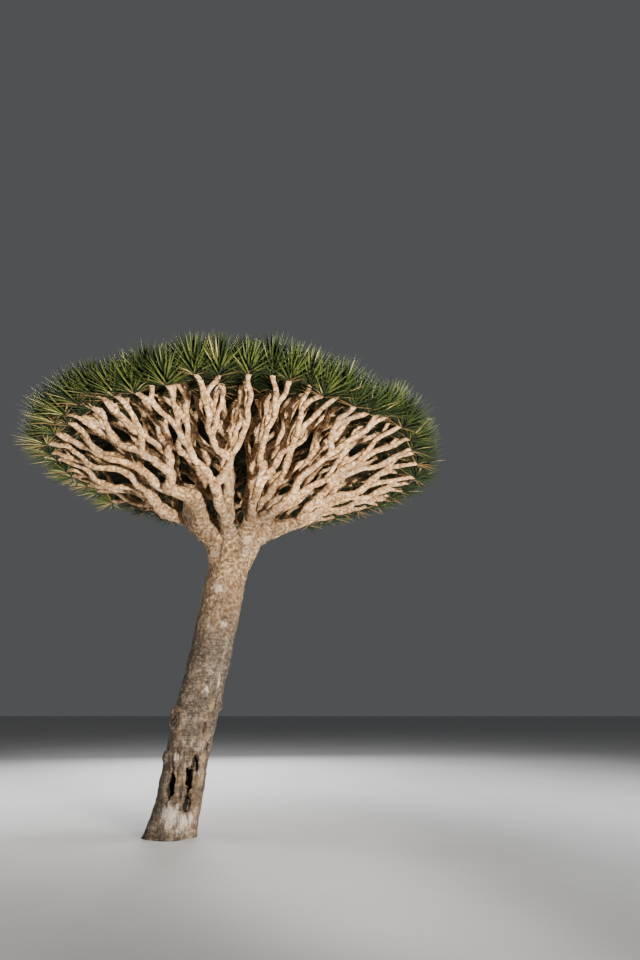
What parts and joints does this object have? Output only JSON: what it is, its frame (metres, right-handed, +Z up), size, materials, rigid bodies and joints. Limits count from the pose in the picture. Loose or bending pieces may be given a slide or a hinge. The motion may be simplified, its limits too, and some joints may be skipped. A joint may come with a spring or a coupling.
{
  "type": "dragon blood tree",
  "caption": "Whole dragon blood tree: leaning trunk with a small root flare, a fan of forking boughs and an umbrella crown of sword-shaped leaves.",
  "frame": {"origin": "the middle of the trunk's flat cut at ground level", "axes": "+Z up; the trunk leans towards +X, and the picture looks along +Y"},
  "size_m": [5.7614, 5.9903, 5.777],
  "materials": {
    "bark": "dry, pitted pale grey-beige bark with whitish patches and warmer tan on the finer limbs",
    "foliage": "stiff sword leaves, mid green to yellow-green, with a few dry tan ones under the tufts"
  },
  "bodies": {
    "root": {"trunk": "bark", "bough_left": "bark", "bough_left_a": "bark", "bough_left_a_a": "bark", "bough_left_a_b": "bark", "bough_left_b": "bark", "bough_left_b_b": "bark", "bough_front": "bark", "bough_front_right": "bark", "bough_right": "bark", "bough_low_right": "bark", "bough_low_right_a": "bark", "bough_low_right_b": "bark", "bough_back_right": "bark", "bough_back_right_a": "bark", "bough_back_left": "bark", "bough_back_left_a": "bark", "bough_back_left_b": "bark", "foliage_left_a_a_a": "foliage", "foliage_left_a_a_b": "foliage", "foliage_left_a_b_a": "foliage", "foliage_left_a_b_b": "foliage", "foliage_left_b_a": "foliage", "foliage_left_b_b_a": "foliage", "foliage_left_b_b_b": "foliage", "foliage_front_a": "foliage", "foliage_front_b": "foliage", "foliage_front_right_a": "foliage", "foliage_front_right_b": "foliage", "foliage_right_a": "foliage", "foliage_right_b": "foliage", "foliage_low_right_a_a": "foliage", "foliage_low_right_a_b": "foliage", "foliage_low_right_b_a": "foliage", "foliage_low_right_b_b": "foliage", "foliage_back_right_a_a": "foliage", "foliage_back_right_a_b": "foliage", "foliage_back_right_b": "foliage", "foliage_back_left_a_a": "foliage", "foliage_back_left_a_b": "foliage", "foliage_back_left_b_a": "foliage", "foliage_back_left_b_b": "foliage"}
  },
  "joints": []
}
